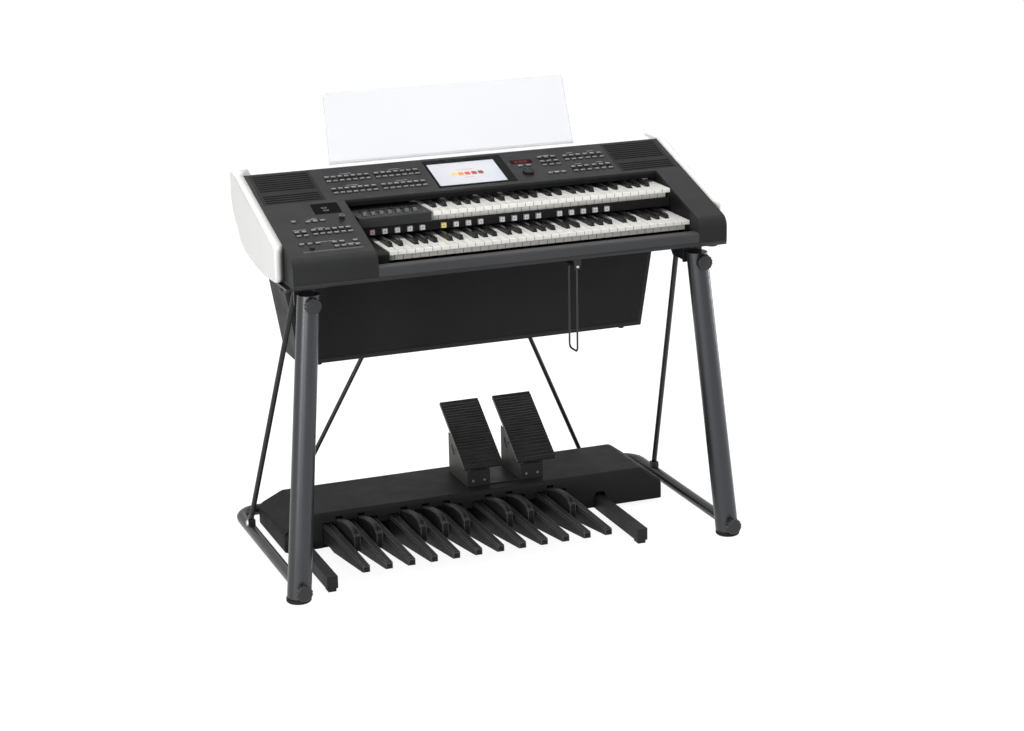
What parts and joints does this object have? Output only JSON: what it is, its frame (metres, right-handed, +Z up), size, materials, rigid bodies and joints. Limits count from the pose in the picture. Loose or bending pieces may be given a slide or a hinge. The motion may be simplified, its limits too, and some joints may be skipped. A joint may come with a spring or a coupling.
{
  "type": "two-manual electronic organ",
  "caption": "Electronic organ with two offset keyboards under a sloping control panel, on a tubular stand with a pedalboard, expression pedals and a speaker cabinet.",
  "frame": {"origin": "on the floor, at the middle of the footprint", "axes": "+X from the low notes to the high notes, +Y from the player to the back of the organ, +Z up"},
  "size_m": [1.3076, 0.7069, 1.2368],
  "materials": {
    "case_plastic": "fine satin texture, charcoal",
    "shell_white": "satin off-white",
    "key_white": "gloss ivory white",
    "key_black": "gloss black",
    "button_white": "translucent pale",
    "button_grey": "satin grey",
    "knob_black": "satin black",
    "bezel_gloss": "gloss black",
    "screen": "pale lit screen",
    "window_red": "dark red filter",
    "acrylic": "clear acrylic",
    "circuit": "lacquered board",
    "zinc_steel": "plated sheet",
    "speaker": "paper cone",
    "cabinet_board": "black foil",
    "speaker_cloth": "black cloth",
    "leg_paint": "dark metallic grey",
    "tube_paint": "satin black",
    "pedal_plastic": "fine grained black",
    "foot_rubber": "matt black"
  },
  "bodies": {
    "organ": {"upper_case": "case_plastic", "bottom_case": "case_plastic", "front_rail": "case_plastic", "lower_key_frame": "case_plastic", "upper_key_frame": "case_plastic", "manual_fascia": "case_plastic", "controller_block": "case_plastic", "left_grille": "case_plastic", "right_grille": "case_plastic", "rear_cover": "shell_white", "left_side_panel": "shell_white", "right_side_panel": "shell_white", "display_bezel": "bezel_gloss", "display_screen": "screen", "number_window": "window_red", "main_board": "circuit", "power_unit": "zinc_steel", "left_speaker": "speaker", "right_speaker": "speaker", "left_woofer": "speaker", "right_woofer": "speaker", "speaker_cabinet": "cabinet_board", "speaker_baffle": "cabinet_board", "speaker_cloth": "speaker_cloth", "left_leg": "leg_paint", "right_leg": "leg_paint", "left_leg_foot": "foot_rubber", "right_leg_foot": "foot_rubber", "left_bracket": "tube_paint", "right_bracket": "tube_paint", "left_strut": "tube_paint", "right_strut": "tube_paint", "floor_frame": "tube_paint", "rear_brace": "tube_paint", "left_upper_knob": "knob_black", "right_upper_knob": "knob_black", "left_lower_knob": "knob_black", "right_lower_knob": "knob_black", "knee_bracket": "tube_paint", "pedal_case": "pedal_plastic", "pedal_frame": "tube_paint", "treadle_bracket": "tube_paint"},
    "lower_white_keys": {"lower_naturals": "key_white"},
    "lower_black_keys": {"lower_sharps": "key_black"},
    "upper_white_keys": {"upper_naturals": "key_white"},
    "upper_black_keys": {"upper_sharps": "key_black"},
    "natural_pedal_set": {"pedal_naturals": "pedal_plastic"},
    "sharp_pedal_set": {"pedal_sharps": "pedal_plastic"},
    "left_expression_pedal": {"left_treadle": "pedal_plastic"},
    "right_expression_pedal": {"right_treadle": "pedal_plastic"},
    "registration_button_set": {"registration_buttons": "button_white"},
    "voice_button_set": {"voice_buttons": "button_grey"},
    "function_button_set": {"function_buttons": "button_grey"},
    "block_button_set": {"block_buttons": "button_grey"},
    "fader_set": {"controller_faders": "button_grey"},
    "data_dial_body": {"data_dial": "knob_black"},
    "volume_knob_body": {"volume_knob": "knob_black"},
    "trim_knob_body": {"trim_knob": "knob_black"},
    "music_rest_body": {"music_rest": "acrylic"},
    "knee_lever_body": {"knee_lever": "tube_paint"}
  },
  "joints": [
    {"name": "lower_naturals_press", "type": "hinge", "parent": "organ", "child": "lower_white_keys", "pos_m": [0, -0.0624, 0.8806], "axis": [1, 0, 0], "range_deg": [0, 2.8], "stiffness_Nm_per_rad": 60, "springref_deg": -5.73},
    {"name": "lower_sharps_press", "type": "hinge", "parent": "organ", "child": "lower_black_keys", "pos_m": [0, -0.0624, 0.8806], "axis": [1, 0, 0], "range_deg": [0, 2.8], "stiffness_Nm_per_rad": 35, "springref_deg": -5.73},
    {"name": "upper_naturals_press", "type": "hinge", "parent": "organ", "child": "upper_white_keys", "pos_m": [0, 0.0616, 0.9453], "axis": [1, 0, 0], "range_deg": [0, 2.8], "stiffness_Nm_per_rad": 50, "springref_deg": -5.73},
    {"name": "upper_sharps_press", "type": "hinge", "parent": "organ", "child": "upper_black_keys", "pos_m": [0, 0.0616, 0.9453], "axis": [1, 0, 0], "range_deg": [0, 2.8], "stiffness_Nm_per_rad": 28, "springref_deg": -5.73},
    {"name": "natural_pedals_press", "type": "hinge", "parent": "organ", "child": "natural_pedal_set", "pos_m": [0, 0.2799, 0.06], "axis": [1, 0, 0], "range_deg": [0, 1.7], "stiffness_Nm_per_rad": 400, "springref_deg": -5.73},
    {"name": "sharp_pedals_press", "type": "hinge", "parent": "organ", "child": "sharp_pedal_set", "pos_m": [0, 0.2799, 0.06], "axis": [1, 0, 0], "range_deg": [0, 1.7], "stiffness_Nm_per_rad": 100, "springref_deg": -5.73},
    {"name": "left_treadle_tilt", "type": "hinge", "parent": "organ", "child": "left_expression_pedal", "pos_m": [0.0285, 0.1499, 0.198], "axis": [1, 0, 0], "range_deg": [-18, 0]},
    {"name": "right_treadle_tilt", "type": "hinge", "parent": "organ", "child": "right_expression_pedal", "pos_m": [0.1895, 0.1499, 0.198], "axis": [1, 0, 0], "range_deg": [-18, 0]},
    {"name": "registration_press", "type": "slide", "parent": "organ", "child": "registration_button_set", "axis": [0, 1, 0], "range_m": [0, 0.001], "stiffness_N_per_m": 3000, "springref_m": -0.001},
    {"name": "voice_press", "type": "slide", "parent": "organ", "child": "voice_button_set", "axis": [0, 0.299, -0.9542], "range_m": [0, 0.0006], "stiffness_N_per_m": 3000, "springref_m": -0.001},
    {"name": "function_press", "type": "slide", "parent": "organ", "child": "function_button_set", "axis": [0, 0.299, -0.9542], "range_m": [0, 0.0006], "stiffness_N_per_m": 3000, "springref_m": -0.001},
    {"name": "block_press", "type": "slide", "parent": "organ", "child": "block_button_set", "axis": [0, 0.299, -0.9542], "range_m": [0, 0.0006], "stiffness_N_per_m": 3000, "springref_m": -0.001},
    {"name": "fader_slide", "type": "slide", "parent": "organ", "child": "fader_set", "axis": [0, 1, 0], "range_m": [-0.009, 0.009]},
    {"name": "data_dial_turn", "type": "hinge", "parent": "organ", "child": "data_dial_body", "pos_m": [0.163, 0.00877, 1.00939], "axis": [0, -0.299, 0.9542], "continuous": true},
    {"name": "volume_turn", "type": "hinge", "parent": "organ", "child": "volume_knob_body", "pos_m": [-0.413, -0.13342, 0.96483], "axis": [0, -0.299, 0.9542], "range_deg": [-150, 150]},
    {"name": "trim_turn", "type": "hinge", "parent": "organ", "child": "trim_knob_body", "pos_m": [-0.533, -0.26319, 0.92416], "axis": [0, -0.299, 0.9542], "range_deg": [-150, 150]},
    {"name": "music_rest_lift", "type": "slide", "parent": "organ", "child": "music_rest_body", "axis": [0, 0.3256, 0.9455], "range_m": [0, 0.04]},
    {"name": "knee_lever_swing", "type": "hinge", "parent": "organ", "child": "knee_lever_body", "pos_m": [0.188, -0.2381, 0.804], "axis": [0, 1, 0], "range_deg": [-85, 25]}
  ]
}
